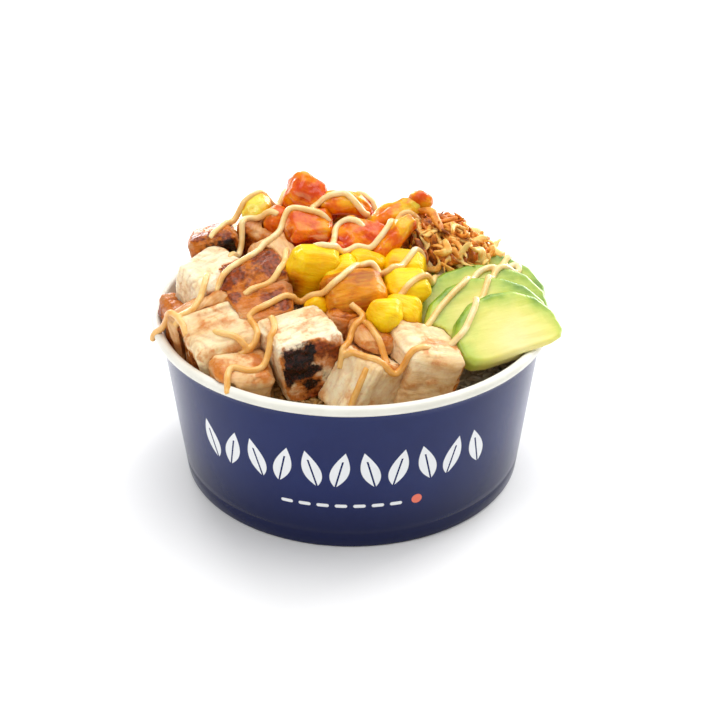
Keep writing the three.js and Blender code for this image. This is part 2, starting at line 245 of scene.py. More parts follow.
def made_plain(piece):
    """Turn a piece's modifiers into plain mesh."""
    bpy.context.view_layer.update()
    graph = bpy.context.evaluated_depsgraph_get()
    mesh = bpy.data.meshes.new_from_object(piece.evaluated_get(graph))
    piece.modifiers.clear()
    piece.data = mesh
    return piece


def joined_up(mesh, reach, outwards=True):
    """Merge points that are nearer than a reach in millimetres, and turn the faces outwards."""
    work = bmesh.new()
    work.from_mesh(mesh)
    bmesh.ops.remove_doubles(work, verts=work.verts, dist=reach * MM)
    if outwards:
        bmesh.ops.recalc_face_normals(work, faces=work.faces)
    work.to_mesh(mesh)
    work.free()
    mesh.shade_smooth()
    return mesh


def ring_faces(i, count):
    """The faces between ring i and the next, in a mesh made of rings of points."""
    near, far = i * count, (i + 1) * count
    return [
        (near + k, near + (k + 1) % count, far + (k + 1) % count, far + k) for k in range(count)
    ]


def vectors_of(piece, name):
    flat = np.empty(len(piece.data.vertices) * 3)
    piece.data.vertices.foreach_get(name, flat)
    return flat.reshape(-1, 3)


def points_of(piece):
    return vectors_of(piece, "co") / MM


def normals_of(piece):
    return vectors_of(piece, "normal")


def raised(piece, relief):
    """Move a piece's points out along their normals, by one amount or by one for each."""
    points = points_of(piece) + normals_of(piece) * np.reshape(relief, (-1, 1))
    piece.data.vertices.foreach_set("co", (points * MM).ravel())
    piece.data.update()
    return piece


def write_values(mesh, **values):
    """Store a number or a vector for each point under each name."""
    for name, amounts in values.items():
        amounts = np.float32(amounts)
        kind, field = ("FLOAT", "value") if amounts.ndim == 1 else ("FLOAT_VECTOR", "vector")
        mesh.attributes.new(name, kind, "POINT").data.foreach_set(field, amounts.ravel())


def softened(piece, voxel, rounding):
    """Give a piece an even fine mesh and wear its edges round."""
    remesh = piece.modifiers.new("fine mesh", "REMESH")
    remesh.mode = "VOXEL"
    remesh.voxel_size = voxel * MM
    worn = piece.modifiers.new("worn edges", "SMOOTH")
    worn.factor = 0.5
    worn.iterations = rounding
    made_plain(piece).data.shade_smooth()
    return piece


def fine_skinned(node, name, voxel, rounding, proud):
    """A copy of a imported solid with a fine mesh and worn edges, its faces a little proud."""
    mesh = frame["nodes"][node].data.copy()
    mesh.materials.clear()
    piece = softened(added(name, joined_up(mesh, 0.005, outwards=False)), voxel, rounding)
    return raised(piece, proud)


def own_axes(turn):
    return np.array(Euler([math.radians(angle) for angle in turn], "XYZ").to_matrix())


def facing(normals, sides):
    """How squarely each point faces the listed sides, 0 to 1, times that side's amount."""
    most = np.zeros(len(normals))
    for side, amount in sides.items():
        square = smooth_step(0.45, 0.85, normals @ np.array(SIDES[side], float))
        most = np.maximum(most, amount * square)
    return most


# ---- node helpers


def wire(socket, value):
    """Link a value that nodes work out to a socket, or set a plain one there."""
    value = getattr(value, "socket", value)
    if isinstance(value, bpy.types.NodeSocket):
        socket.id_data.links.new(value, socket)
    else:
        socket.default_value = value


def add(tree, kind, inputs=None, **settings):
    """A node with its settings made and its inputs wired or set."""
    node = tree.nodes.new(kind)
    for key, value in settings.items():
        setattr(node, key, value)
    for key, value in (inputs or {}).items():
        wire(node.inputs[key], value)
    return node


def calc(operation, *values):
    """One sum, made by a node in the tree that the worked-out values come from."""
    tree = next(value.tree for value in values if isinstance(value, Number))
    node = add(tree, "ShaderNodeMath", operation=operation)
    for socket, value in zip(node.inputs, values):
        wire(socket, value)
    return Number(node.outputs[0])


class Number:
    """A value that nodes work out, so that a sum on it is written as a sum."""

    def __init__(self, socket):
        self.socket, self.tree = socket, socket.id_data


for sign, operation in (
    ("add", "ADD"), ("sub", "SUBTRACT"), ("mul", "MULTIPLY"), ("truediv", "DIVIDE"),
):
    setattr(Number, "__%s__" % sign, lambda one, two, kind=operation: calc(kind, one, two))
    setattr(Number, "__r%s__" % sign, lambda one, two, kind=operation: calc(kind, two, one))


def step_between(value, low, high):
    """0 below low, 1 above high, smooth between."""
    node = add(
        value.tree, "ShaderNodeMapRange",
        {"Value": value, "From Min": low, "From Max": high}, interpolation_type="SMOOTHSTEP",
    )
    return Number(node.outputs["Result"])


def combined(tree, **axes):
    return add(tree, "ShaderNodeCombineXYZ", axes).outputs[0]


def colour(hexed):
    """A linear colour from a six-figure sRGB one."""
    parts = [int(hexed[i:i + 2], 16) / 255 for i in (0, 2, 4)]
    return tuple(p / 12.92 if p < 0.04045 else ((p + 0.055) / 1.055) ** 2.4 for p in parts) + (1.0,)


def blend(share, first, second):
    """From the first colour to the second as the share goes from 0 to 1."""
    node = add(share.tree, "ShaderNodeMix", data_type="RGBA", clamp_factor=True)
    wire(node.inputs[0], share)
    for socket, shade in zip(node.inputs[6:8], (first, second)):
        wire(socket, colour(shade) if isinstance(shade, str) else shade)
    return node.outputs[2]


def ramp(value, *stops):
    node = add(value.tree, "ShaderNodeValToRGB", {"Fac": value})
    elements = node.color_ramp.elements
    while len(elements) < len(stops):
        elements.new(0.5)
    for element, (place, shade) in zip(elements, stops):
        element.position = place
        element.color = colour(shade)
    return node.outputs["Color"]


def attribute(tree, name, output="Fac"):
    return Number(add(tree, "ShaderNodeAttribute", attribute_name=name).outputs[output])


def new_tree(name, kind, outputs, **inputs):
    """A tree with named inputs, each given by its first value or by the name of its kind."""
    tree = bpy.data.node_groups.new(name, kind)
    for label, value in inputs.items():
        kind = {float: "Float", int: "Int"}.get(type(value), value)
        socket = tree.interface.new_socket(label, in_out="INPUT", socket_type="NodeSocket" + kind)
        if kind != value:
            socket.default_value = value
    for label, kind in outputs.items():
        tree.interface.new_socket(label, in_out="OUTPUT", socket_type="NodeSocket" + kind)
    return tree, tree.nodes.new("NodeGroupInput").outputs, tree.nodes.new("NodeGroupOutput").inputs


def fibre_group():
    """Long uneven fibres that follow the first axis of their coordinates."""
    tree, given, out = new_tree(
        "fibres", "ShaderNodeTree", {"Fibres": "Float"},
        Vector="Vector", Along=0.1, Across=1.0, Roughness=0.6,
    )
    stretched = add(tree, "ShaderNodeVectorMath", {
        0: given["Vector"],
        1: combined(tree, X=given["Along"], Y=given["Across"], Z=given["Across"]),
    }, operation="MULTIPLY")
    texture = add(tree, "ShaderNodeTexNoise", {
        "Vector": stretched.outputs[0], "Scale": 1.0, "Detail": 3.0,
        "Roughness": given["Roughness"],
    })
    wire(out["Fibres"], step_between(Number(texture.outputs["Fac"]), 0.3, 0.7))
    return tree


def mottle_group():
    """Soft uneven patches of a size, and the same broken up finer."""
    tree, given, out = new_tree(
        "mottle", "ShaderNodeTree", {"Patches": "Float", "Fine": "Float"},
        Vector="Vector", Size=5.0, Low=0.35, High=0.65,
    )
    scale = 1.0 / Number(given["Size"])
    patches = add(tree, "ShaderNodeTexNoise", {
        "Vector": given["Vector"], "Scale": scale, "Detail": 4.0, "Roughness": 0.55,
    })
    wire(out["Patches"], step_between(Number(patches.outputs["Fac"]), given["Low"], given["High"]))
    fine = add(tree, "ShaderNodeTexNoise", {
        "Vector": given["Vector"], "Scale": scale * 6.0, "Detail": 3.0,
    })
    wire(out["Fine"], fine.outputs["Fac"])
    return tree


FIBRES = fibre_group()
MOTTLE = mottle_group()


def placed(where, group, **inputs):
    """A shared group in the tree that its coordinates come from."""
    node = where.tree.nodes.new("ShaderNodeGroup")
    node.node_tree = group
    for key, value in {"Vector": where, **inputs}.items():
        wire(node.inputs[key], value)
    return [Number(output) for output in node.outputs]


def fibres(where, along, across, roughness=0.6):
    return placed(where, FIBRES, Along=along, Across=across, Roughness=roughness)[0]


def mottle(where, size, low=0.35, high=0.65):
    """Patches of a size in millimetres, and finer ones a sixth as large."""
    return placed(where, MOTTLE, Size=size, Low=low, High=high)


def new_finish(
    name, ior=1.5, coat=(0.0, 0.03), juice=(0.0, (1.0, 0.2, 0.1), 50.0), roughness=0.5,
):
    """A material with one shader, whose even values are set on it here. Juice is the light that
    goes into the food: how much, how far for each colour, and its reach in millimetres."""
    material = bpy.data.materials.new(name)
    material.use_nodes = True
    tree = material.node_tree
    tree.nodes.clear()
    shader = tree.nodes.new("ShaderNodeBsdfPrincipled")
    wire(tree.nodes.new("ShaderNodeOutputMaterial").inputs["Surface"], shader.outputs[0])
    for key, value in (
        ("IOR", ior), ("Roughness", roughness),
        ("Coat Weight", coat[0]), ("Coat Roughness", coat[1]),
        ("Subsurface Weight", juice[0]), ("Subsurface Radius", juice[1]),
        ("Subsurface Scale", juice[2] * MM),
    ):
        shader.inputs[key].default_value = value
    return material, tree


def surfaced(material, shade, height, strength, depth, roughness=None):
    """Give a material its colour, its bumps, their depth in millimetres, and its uneven gloss."""
    tree = material.node_tree
    shader = tree.nodes["Principled BSDF"]
    wire(shader.inputs["Base Color"], shade)
    bump = add(tree, "ShaderNodeBump", {
        "Strength": strength, "Distance": depth * MM, "Height": height,
    })
    wire(shader.inputs["Normal"], bump.outputs[0])
    if roughness is not None:
        wire(shader.inputs["Roughness"], roughness)
    return material


def millimetres(tree):
    """Object coordinates in millimetres."""
    scaled = add(tree, "ShaderNodeVectorMath", operation="SCALE")
    wire(scaled.inputs[0], add(tree, "ShaderNodeTexCoord").outputs["Object"])
    scaled.inputs["Scale"].default_value = 1 / MM
    return Number(scaled.outputs[0])


def along_axis(where, axis):
    node = add(where.tree, "ShaderNodeSeparateXYZ", {"Vector": where})
    return Number(node.outputs[axis])


# ---- finishes


def chicken_finish():
    """Pale meat with fibres and furrows, with painted shade in the furrows and on the faces of its
    ledges, golden, then crusted, then burnt where it was seared.
    """
    material, tree = new_finish(
        "grilled_chicken", ior=1.28, coat=(0.18, 0.15), juice=(0.2, (1.0, 0.6, 0.3), 1.6),
    )
    cut = attribute(tree, "cut", "Vector")
    strands = fibres(cut, 0.08, 0.42)
    threads = fibres(cut, 0.3, 1.9)
    patches, flecks = mottle(cut, 8.0, 0.36, 0.66)
    meat = ramp(
        attribute(tree, "tone") + 0.1 * strands + 0.3 * patches,
        (0.0, "fbeecc"), (0.2, "f7dfae"), (0.42, "eec88c"),
        (0.65, "dfaa66"), (0.85, "cc8638"), (1.0, "b06820"),
    )
    meat = blend(0.12 * threads, meat, "fff4e0")
    meat = blend(0.28 * step_between(flecks, 0.48, 0.66), meat, "dea480")
    # painted shade: the meat is darkened in the furrows and on the faces of the ledges
    meat = blend(0.35 * attribute(tree, "furrow"), meat, "c08458")
    blisters, grit = mottle(cut, 8.0, 0.32, 0.68)
    cooked = attribute(tree, "sear") + 0.7 * (blisters - 0.5) + 0.35 * (grit - 0.5)
    golden = step_between(cooked, 0.1, 0.6)
    meat = blend(0.9 * golden, meat, "cc7010")
    crust = ramp(grit, (0.3, "9c3c04"), (0.5, "7a2a04"), (0.7, "421404"))
    meat = blend(0.9 * step_between(cooked, 0.5, 1.0), meat, crust)
    burnt = step_between(attribute(tree, "char") + 0.55 * (grit - 0.5), 0.35, 0.75)
    black = ramp(grit, (0.3, "4c1a0c"), (0.5, "230b06"), (0.68, "0b0404"))
    height = strands + 0.5 * threads + 2.2 * golden * grit
    return surfaced(material, blend(burnt, meat, black), height, 0.35, 0.45, 0.48 - 0.24 * golden)


def mango_finish():
    """Wet yellow flesh with fine strands, amber where it is deep, and deeper amber as painted shade
    in its dips and on pieces in shade.
    """
    material, tree = new_finish(
        "mango", ior=1.28, coat=(0.14, 0.15), juice=(0.3, (1.0, 0.5, 0.05), 2.5), roughness=0.36,
    )
    cut = attribute(tree, "cut", "Vector")
    patches, fine = mottle(cut, 8.0, 0.35, 0.7)
    strands = fibres(cut, 0.12, 0.9, 0.5)
    flesh = ramp(
        attribute(tree, "amber") + 0.3 * patches,
        (0.0, "fcd400"), (0.3, "fabe00"), (0.6, "ea9600"), (0.85, "cf7200"), (1.0, "ac5200"),
    )
    flesh = blend(0.15 * strands, flesh, "ffe440")
    return surfaced(material, flesh, strands + 0.8 * fine, 0.35, 0.4)


def tomato_finish():
    """Glossy skin from yellow to red, with pale veins in the cut flesh and its hollows painted dark
    red as shade.
    """
    material, tree = new_finish(
        "tomato", ior=1.25, coat=(0.4, 0.06), juice=(0.4, (1.0, 0.35, 0.08), 3.0),
    )
    cut = attribute(tree, "cut", "Vector")
    patches, fine = mottle(cut, 9.0, 0.34, 0.66)
    veins = fibres(cut, 0.14, 0.4, 0.45)
    skin = ramp(
        attribute(tree, "ripe") + 0.5 * (patches - 0.5),
        (0.0, "efe05c"), (0.2, "f2bc20"), (0.42, "ee8a00"),
        (0.64, "e06400"), (0.85, "d04200"), (1.0, "a82400"),
    )
    open_flesh = attribute(tree, "flesh")
    pulp = blend(step_between(veins, 0.5, 1.0), skin, "f8b884")
    face = blend(0.75 * open_flesh, skin, pulp)
    # painted shade: the hollows are darkened to deep red
    face = blend(0.75 * attribute(tree, "hollows"), face, "9c1400")
    return surfaced(material, face, fine + veins * open_flesh, 0.5, 0.6, 0.28 + 0.15 * open_flesh)


def avocado_finish():
    """Buttery flesh that turns green towards the skin, and the peeled green outside."""
    material, tree = new_finish(
        "avocado", ior=1.42, coat=(0.25, 0.2), juice=(0.3, (0.8, 1.0, 0.25), 3.0),
    )
    cut = attribute(tree, "cut", "Vector")
    patches, fine = mottle(cut, 11.0, 0.3, 0.75)
    lines = fibres(cut, 0.12, 0.7, 0.5)
    flesh = ramp(
        attribute(tree, "skin") + 0.16 * (patches - 0.5),
        (0.0, "ecdf98"), (0.45, "e8db7c"), (0.7, "dad666"),
        (0.86, "b8c84c"), (0.94, "92b034"), (1.0, "6e9422"),
    )
    flesh = blend(0.08 * lines, flesh, "c8d860")
    peeled = step_between(attribute(tree, "peel"), 0.5, 0.9)
    flesh = blend(0.75 * peeled, flesh, "6c9c24")
    return surfaced(material, flesh, lines + 0.8 * fine, 0.12, 0.4, 0.3 + 0.2 * fine)


def onion_finish():
    """Toasted strips, paler towards the avocado."""
    material, tree = new_finish(
        "fried_onion", ior=1.4, coat=(0.1, 0.2), juice=(0.15, (1.0, 0.5, 0.2), 1.0),
    )
    where = millimetres(tree)
    patches, fine = mottle(where, 3.0, 0.3, 0.7)
    paler = step_between(along_axis(where, "X"), 38.0, 62.0)
    toast = ramp(
        attribute(tree, "shade") + 0.45 * (patches - 0.5) - 0.35 * paler,
        (0.0, "fcd680"), (0.25, "f6b24a"), (0.5, "e69028"), (0.75, "c86e18"), (1.0, "80400c"),
    )
    return surfaced(material, toast, fine, 0.6, 0.4, 0.3 + 0.4 * fine)


def rice_finish():
    """White grains, browned in patches and more so towards the front, as painted shade where they
    show in the gaps under the food.
    """
    material, tree = new_finish(
        "rice", ior=1.4, coat=(0.2, 0.25), juice=(0.35, (1.0, 0.9, 0.7), 1.5), roughness=0.4,
    )
    where = millimetres(tree)
    patches, fine = mottle(where, 14.0)
    grain = blend(attribute(tree, "shade"), "f1e9d8", "dccdb0")
    # painted shade: the grains turn brown in patches and towards the front, where they lie in
    # shadowed gaps
    painted_gap_shade = step_between(along_axis(where, "Y"), -35.0, -60.0) + 0.4 * patches + 0.15
    return surfaced(material, blend(painted_gap_shade, grain, "a87c3e"), fine, 0.2, 0.2)


def sauce_finish():
    """Cream sauce, browner in random patches, and browner still as painted shade where it lies low
    towards the front left.
    """
    material, tree = new_finish(
        "sauce", ior=1.42, coat=(0.4, 0.15), juice=(0.3, (1.0, 0.7, 0.35), 2.0), roughness=0.3,
    )
    patches, fine = mottle(millimetres(tree), 7.0, 0.3, 0.7)
    # painted shade: the sauce turns browner and more orange where it lies low at the front left
    tint = ramp(
        attribute(tree, "soaked") + 0.3 * patches,
        (0.0, "fdeec4"), (0.35, "f7d088"), (0.7, "e8a84c"), (1.0, "d28622"),
    )
    return surfaced(material, tint, fine, 0.2, 0.3)


# ---- the bowl's printed paper
#
# The print runs round the wall: along is the way round it and height the way up, in millimetres.

LEAF_MIDDLE = 39.5  # height of the row of leaves
HALF_LEAF = 8.6
HALF_LEAF_WIDTH = 3.6
LEAF_STEP = 11.4  # from leaf to leaf
LEAVES = 11
DASH_HEIGHT = 21.5
HALF_DASH = 1.7
HALF_DASH_WIDTH = 0.8
DASH_STEP = 7.4
DASHES = 7
PRINT_RADIUS = 76.0
PRINT_SHIFT = 4.0  # how far the print stands to the left of the middle


def inked(depth):
    """1 inside an outline and 0 outside it, with a slightly soft edge."""
    return step_between(depth, -0.1, 0.1)


def in_row(along, step, count):
    """Distance from the middle of the nearest place in a row, its number, and where the row is."""
    steps = along / step + 0.5
    inside = calc("LESS_THAN", calc("ABSOLUTE", along), count * step / 2)
    return (calc("FRACT", steps) - 0.5) * step, calc("FLOOR", steps), inside


def distance(sideways, up):
    return calc("SQRT", sideways * sideways + up * up)


def leaf_row(along, height):
    """A mask of bold leaves in a row, leaning by turns left and right, each with a midrib."""
    across, index, inside = in_row(along, LEAF_STEP, LEAVES)
    lean = calc("MODULO", calc("ABSOLUTE", index), 2.0) * 0.5 - 0.25
    up = height - LEAF_MIDDLE
    across = calc("ABSOLUTE", across + up * lean)
    share = up / HALF_LEAF
    half = (1.0 - share * share) * (1.0 - 0.3 * share) * HALF_LEAF_WIDTH
    rib = calc("LESS_THAN", across, 0.38) * calc("LESS_THAN", share, 0.5)
    return inked(half - across) * (1.0 - rib) * inside


def dash_row(along, height):
    """A mask of short rounded dashes in a row under the leaves."""
    across, _, inside = in_row(along, DASH_STEP, DASHES)
    over = calc("MAXIMUM", calc("ABSOLUTE", across) - HALF_DASH, 0.0)
    return inked(HALF_DASH_WIDTH - distance(over, height - DASH_HEIGHT)) * inside


def printed_paper_finish():
    """Navy ink, with painted shade that darkens it towards the foot, with white leaves and dashes
    and one coral dot.
    """
    material, tree = new_finish("printed_paper", ior=1.28, coat=(0.08, 0.25))
    where = millimetres(tree)
    height = along_axis(where, "Z")
    turned = calc("ARCTAN2", along_axis(where, "X"), along_axis(where, "Y") * -1.0)
    along = turned * PRINT_RADIUS + PRINT_SHIFT
    white = calc("MAXIMUM", leaf_row(along, height), dash_row(along, height))
    sideways = along - (DASHES * DASH_STEP / 2 + 5.0)
    coral = inked(2.2 - distance(sideways, height - (DASH_HEIGHT + 0.6)))
    ink = blend(mottle(where, 18.0)[0], "182458", "1a275c")
    # painted shade: the ink darkens towards the foot
    ink = blend(step_between(height, 34.0, 4.0), ink, "0e1742")
    ink = blend(white, ink, "eef0f2")
    fibre = fibres(where, 1.2, 1.8)
    return surfaced(material, blend(coral, ink, "ee7a62"), fibre, 0.12, 0.15, 0.17 + 0.08 * fibre)


def white_paper_finish():
    material, tree = new_finish("white_paper", ior=1.48, coat=(0.35, 0.25))
    where = millimetres(tree)
    shade = blend(mottle(where, 12.0)[0], "efede2", "e8e6da")
    fibre = fibres(where, 1.2, 1.8)
    return surfaced(material, shade, fibre, 0.12, 0.15, 0.4 + 0.1 * fibre)


# ---- pieces


def finished(piece, node, slot, *materials):
    """Give a piece its finish and its place on the body, and hide the node it stands for."""
    for material in materials:
        if material.name not in piece.data.materials:
            piece.data.materials.append(material)
    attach(piece, "root")
    if node:
        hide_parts(node)
    return piece


def bowl_profile(rim_radius, rim_height, rim_tube, base_radius):
    """The bowl's section, from the middle of its underside, up the wall, over the rim and down to
    the middle of its floor, as (radius, height), with where the printed paper starts and ends."""
    wall, floor_thick = 1.0, 1.2
    under_floor, over_floor = 5.5, 5.5 + floor_thick
    crease = 0.22  # how far the foot's fold is pressed in
    top_radius = rim_radius + rim_tube * 0.4 - 2.0

    def outside(height):
        return base_radius + (top_radius - base_radius) * height / rim_height

    def inside(height):
        return outside(height) - wall

    joint = rim_height - rim_tube * 0.8
    profile = [(0, under_floor), (30, under_floor)]
    profile += [
        (base_radius - inset, height)
        for inset, height in ((2.6, under_floor), (2.2, 4.9), (2.1, 0.5), (1.8, 0.1), (1.5, 0))
    ]
    printed_from = len(profile)
    profile += [(base_radius - 0.5, 0), (base_radius - 0.15, 0.1)]
    profile += [(outside(height), height) for height in (0.5, 3, 5.6)]
    profile += [(outside(height) - crease, height) for height in (6.2, 7.0)]
    profile += [(outside(height), height) for height in (7.6, *np.linspace(10, joint, 14))]
    printed_to = len(profile) - 1
    for turn in range(-48, 172, 12):
        angle = math.radians(turn)
        across, up = rim_tube * math.cos(angle), rim_tube * math.sin(angle)
        profile.append((rim_radius + across, rim_height + up))
    inner_top = joint - 1.2
    profile.append((inside(joint), inner_top))
    heights = np.linspace(inner_top - 4, over_floor + 3, 8)
    profile += [(inside(height), height) for height in heights]
    profile += [(inside(8) - 0.8, over_floor + 0.8), (inside(7) - 2.4, over_floor)]
    profile += [(30, over_floor), (0, over_floor)]
    return profile, printed_from, printed_to


def make_bowl():
    """The paper bowl: recessed floor, folded foot, tapered wall with a lapped seam, rolled rim."""
    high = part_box("bowl")[1]
    rim_tube, base_radius = 2.1, 71.4
    profile, printed_from, printed_to = bowl_profile(
        high.x / MM - rim_tube, high.z / MM - rim_tube, rim_tube, base_radius,
    )
    around = 240
    flap, fade, lap = 9.0, 9.0, 0.35  # the seam at the back: its width, its run-out, its height
    vertices, faces, kinds = [], [], []
    for i, (radius, height) in enumerate(profile):
        for k in range(around):
            angle = 2 * math.pi * k / around
            reach = radius
            if printed_from < i < printed_to:
                arc = (angle - math.pi) * base_radius
                reach += lap * smooth_step(-0.5, 0.5, arc) * smooth_step(flap + fade, flap, arc)
            x, y = reach * math.sin(angle), -reach * math.cos(angle)
            vertices.append((x * MM, y * MM, height * MM))
    for i in range(len(profile) - 1):
        faces += ring_faces(i, around)
        kinds += [0 if printed_from <= i < printed_to else 1] * around
    mesh = bpy.data.meshes.new("paper_bowl")
    mesh.from_pydata(vertices, [], faces)
    mesh.materials.append(printed_paper_finish())
    mesh.materials.append(white_paper_finish())
    mesh.polygons.foreach_set("material_index", kinds)
    return finished(added("paper_bowl", joined_up(mesh, 0.01)), "bowl", "paper")


def from_middle(piece):
    points = points_of(piece)
    return points - points.mean(axis=0)


def worked(piece, turn, seed, grain="x"):
    """A piece's points and normals in its own axes, the points with the grain's axis first and
    carried by the seed to a fresh part of the noise."""
    axes = own_axes(turn)
    order = {"x": [0, 1, 2], "y": [1, 2, 0], "z": [2, 0, 1]}[grain]
    return (from_middle(piece) @ axes)[:, order] + seed * FRESH, normals_of(piece) @ axes


def away_from(piece, place):
    """How far each point is from a place given from the piece's middle."""
    return np.linalg.norm(from_middle(piece) - np.array(place, float), axis=1)


def relieved(piece, relief, **values):
    """Raise a piece's skin by its relief, and store what its finish reads at each point."""
    write_values(piece.data, **values)
    return raised(piece, relief)


def make_chicken(node, seed, turn, tone, grain="x", charred=None, burnt_from=None, **seared):
    """A cube of grilled chicken, its meat parted in layers along the grain and split by furrows,
    which carry painted shade, as do the faces of the ledges.
    """
    piece = fine_skinned(node, node + "_cube", 0.55, 5, 0.3)
    own, own_normals = worked(piece, turn, seed, grain)
    patch = noise(own * 0.16, seed + 5)
    sear = facing(own_normals, seared) * (0.8 + 0.4 * patch)
    char = facing(own_normals, charred or {}) * (0.75 + 0.6 * noise(own * 0.13, seed + 6))
    if burnt_from:
        ragged = 5 * patch + 6 * noise(own * 0.32, seed + 8)
        char *= smooth_step(22, 8, away_from(piece, burnt_from) + ragged)
    layers = 2.0 * noise(own * (0.045, 0.17, 0.17) + 0.15 * patch[:, None], seed + 1)
    step = layers - np.floor(layers)
    # the faces of the ledges, darkened with the furrows as painted shade in the finish
    ledge_shade = 0.7 * smooth_step(0.5, 0.75, step) * smooth_step(1.0, 0.8, step)
    relief = 0.5 * noise(own * 0.1, seed)
    relief = relief + 0.4 * (np.floor(layers) + smooth_step(0.6, 1.0, step))
    furrow = np.abs(noise(own * (0.06, 0.27, 0.27) + 0.2 * patch[:, None], seed + 2))
    furrow = smooth_step(0.14, 0.0, furrow)
    furrow *= smooth_step(-0.4, 0.3, noise(own * 0.12, seed + 3))
    relief += 0.16 * noise(own * (0.25, 0.85, 0.85), seed + 4) - 0.4 * furrow
    relief += (0.5 * noise(own * 0.42, seed + 4) - 0.3) * np.clip(sear + char, 0, 1)
    return relieved(
        piece, relief, cut=own, sear=sear, char=char, furrow=np.maximum(furrow, ledge_shade),
        tone=tone + 0.2 * noise(own * 0.09, seed + 7),
    )


def make_mango(node, seed, turn, amber, hollow=None):
    """A soft-edged dice of mango."""
    piece = fine_skinned(node, node + "_dice", 0.55, 14, 0.55)
    own, _ = worked(piece, turn, seed)
    relief = 0.6 * noise(own * 0.15, seed) + 0.22 * noise(own * (0.2, 0.55, 0.55), seed + 1)
    amber = amber + 0.22 * noise(own * 0.12, seed + 2)
    if hollow:
        place, reach = hollow
        # the dip is sunk, and painted deeper amber as shade in the hollow
        dip = smooth_step(reach, 0, away_from(piece, place))
        relief -= 2.0 * dip
        amber += dip
    return relieved(piece, relief, cut=own, amber=amber)


def make_tomato(node, seed, turn, ripe, **cut_sides):
    """A piece of tomato, with hollows sunk in its cut sides and painted dark red as shade."""
    piece = fine_skinned(node, node + "_piece", 0.5, 16, 0.6)
    own, own_normals = worked(piece, turn, seed)
    flesh = facing(own_normals, cut_sides)
    # dips in the surface, sunk here and painted dark red as shade in the finish
    hollows = smooth_step(0.1, 0.6, noise(own * (0.12, 0.24, 0.24), seed + 2))
    hollows *= np.maximum(flesh, 0.35)
    relief = 0.6 * noise(own * 0.17, seed) + 0.22 * noise(own * 0.5, seed + 1)
    relief -= 0.3 * flesh + 1.5 * hollows
    return relieved(
        piece, relief, cut=own, flesh=flesh, hollows=hollows,
        ripe=ripe + 0.16 * noise(own * 0.14, seed + 3),
    )


def make_avocado(node, seed, at, turn, length, depth):
    """A slice of avocado: skin is how near each point is to the slice's rounded edge."""
    piece = fine_skinned(node, node + "_slice", 0.5, 6, 0.25)
    axes = own_axes(turn)
    own = (points_of(piece) - np.array(at, float)) @ axes
    along = own[:, 0] / (length / 2)
    outward = (own[:, 1] / depth + 0.34) / 0.84  # 0 on the widest line, 1 at the skin
    reach = np.sqrt(along ** 2 + np.maximum(outward, 0.0) ** 2)
    open_end = smooth_step(-0.5, -1.0, along)
    edgewise = 1 - np.abs((normals_of(piece) @ axes)[:, 2])
    relief = 0.3 * noise(own * 0.09, seed) + 0.1 * noise(own * (0.1, 0.4, 0.4), seed + 1)
    return relieved(
        piece, relief, cut=own + seed * FRESH, skin=reach - 0.12 * open_end,
        peel=edgewise * smooth_step(0.7, 0.95, reach) * (1 - 0.75 * open_end),
    )


# ---- small things, scattered


def made_real(tree, geometry, given, out):
    """The end of a geometry tree: real mesh with its material."""
    tree.is_modifier = True
    real = add(tree, "GeometryNodeRealizeInstances", {"Geometry": geometry})
    coated = add(tree, "GeometryNodeSetMaterial", {
        "Geometry": real.outputs[0], "Material": given["Material"],
    })
    wire(out["Geometry"], coated.outputs[0])
    return tree


def with_tree(piece, tree, values):
    """Run a tree on a piece with named inputs, and keep the result as plain mesh."""
    modifier = piece.modifiers.new(tree.name, "NODES")
    modifier.node_group = tree
    for item in tree.interface.items_tree:
        if item.in_out == "INPUT" and item.name in values:
            modifier[item.identifier] = values[item.name]
    return made_plain(piece)


def scatter_tree():
    """Loose pieces from a collection, laid at random over a surface where its cover is 1."""
    tree, given, out = new_tree(
        "scattered", "GeometryNodeTree", {"Geometry": "Geometry"}, Geometry="Geometry",
        Pieces="Collection", Spacing=0.002, Density=100000.0, Tilt=0.3, Lowest=0.0, Highest=0.001,
        Smallest=0.8, Largest=1.2, Seed=0, Material="Material",
    )
    tilt, seed = Number(given["Tilt"]), Number(given["Seed"])

    def random_number(offset, low=0.0, high=1.0):
        inputs = {2: low, 3: high, "Seed": seed + offset}
        return add(tree, "FunctionNodeRandomValue", inputs, data_type="FLOAT").outputs[1]

    cover = add(tree, "GeometryNodeInputNamedAttribute", {"Name": "cover"}, data_type="FLOAT")
    spread = add(tree, "GeometryNodeDistributePointsOnFaces", {
        "Mesh": given["Geometry"], "Distance Min": given["Spacing"],
        "Density Max": given["Density"], "Density Factor": cover.outputs["Attribute"],
        "Seed": given["Seed"],
    }, distribute_method="POISSON")
    spin = add(tree, "FunctionNodeRandomValue", {
        "Min": combined(tree, X=tilt * -1.0, Y=tilt * -1.0),
        "Max": combined(tree, X=tilt, Y=tilt, Z=2 * math.pi),
        "Seed": given["Seed"],
    }, data_type="FLOAT_VECTOR")
    euler = add(tree, "FunctionNodeEulerToRotation", {0: spin.outputs[0]})
    turned = add(tree, "FunctionNodeRotateRotation", {
        "Rotation": spread.outputs["Rotation"], "Rotate By": euler.outputs[0],
    }, rotation_space="LOCAL")
    kinds = add(tree, "GeometryNodeCollectionInfo", {
        "Collection": given["Pieces"], "Separate Children": True, "Reset Children": True,
    })
    laid = add(tree, "GeometryNodeInstanceOnPoints", {
        "Points": spread.outputs["Points"], "Instance": kinds.outputs[0], "Pick Instance": True,
        "Rotation": turned.outputs[0],
        "Scale": random_number(1, given["Smallest"], given["Largest"]),
    })
    lift = combined(tree, Z=random_number(2, given["Lowest"], given["Highest"]))
    raised = add(tree, "GeometryNodeTranslateInstances", {
        "Instances": laid.outputs[0], "Translation": lift, "Local Space": True,
    })
    shaded = add(tree, "GeometryNodeStoreNamedAttribute", {
        "Geometry": raised.outputs[0], "Name": "shade", "Value": random_number(3),
    }, data_type="FLOAT", domain="INSTANCE")
    return made_real(tree, shaded.outputs[0], given, out)


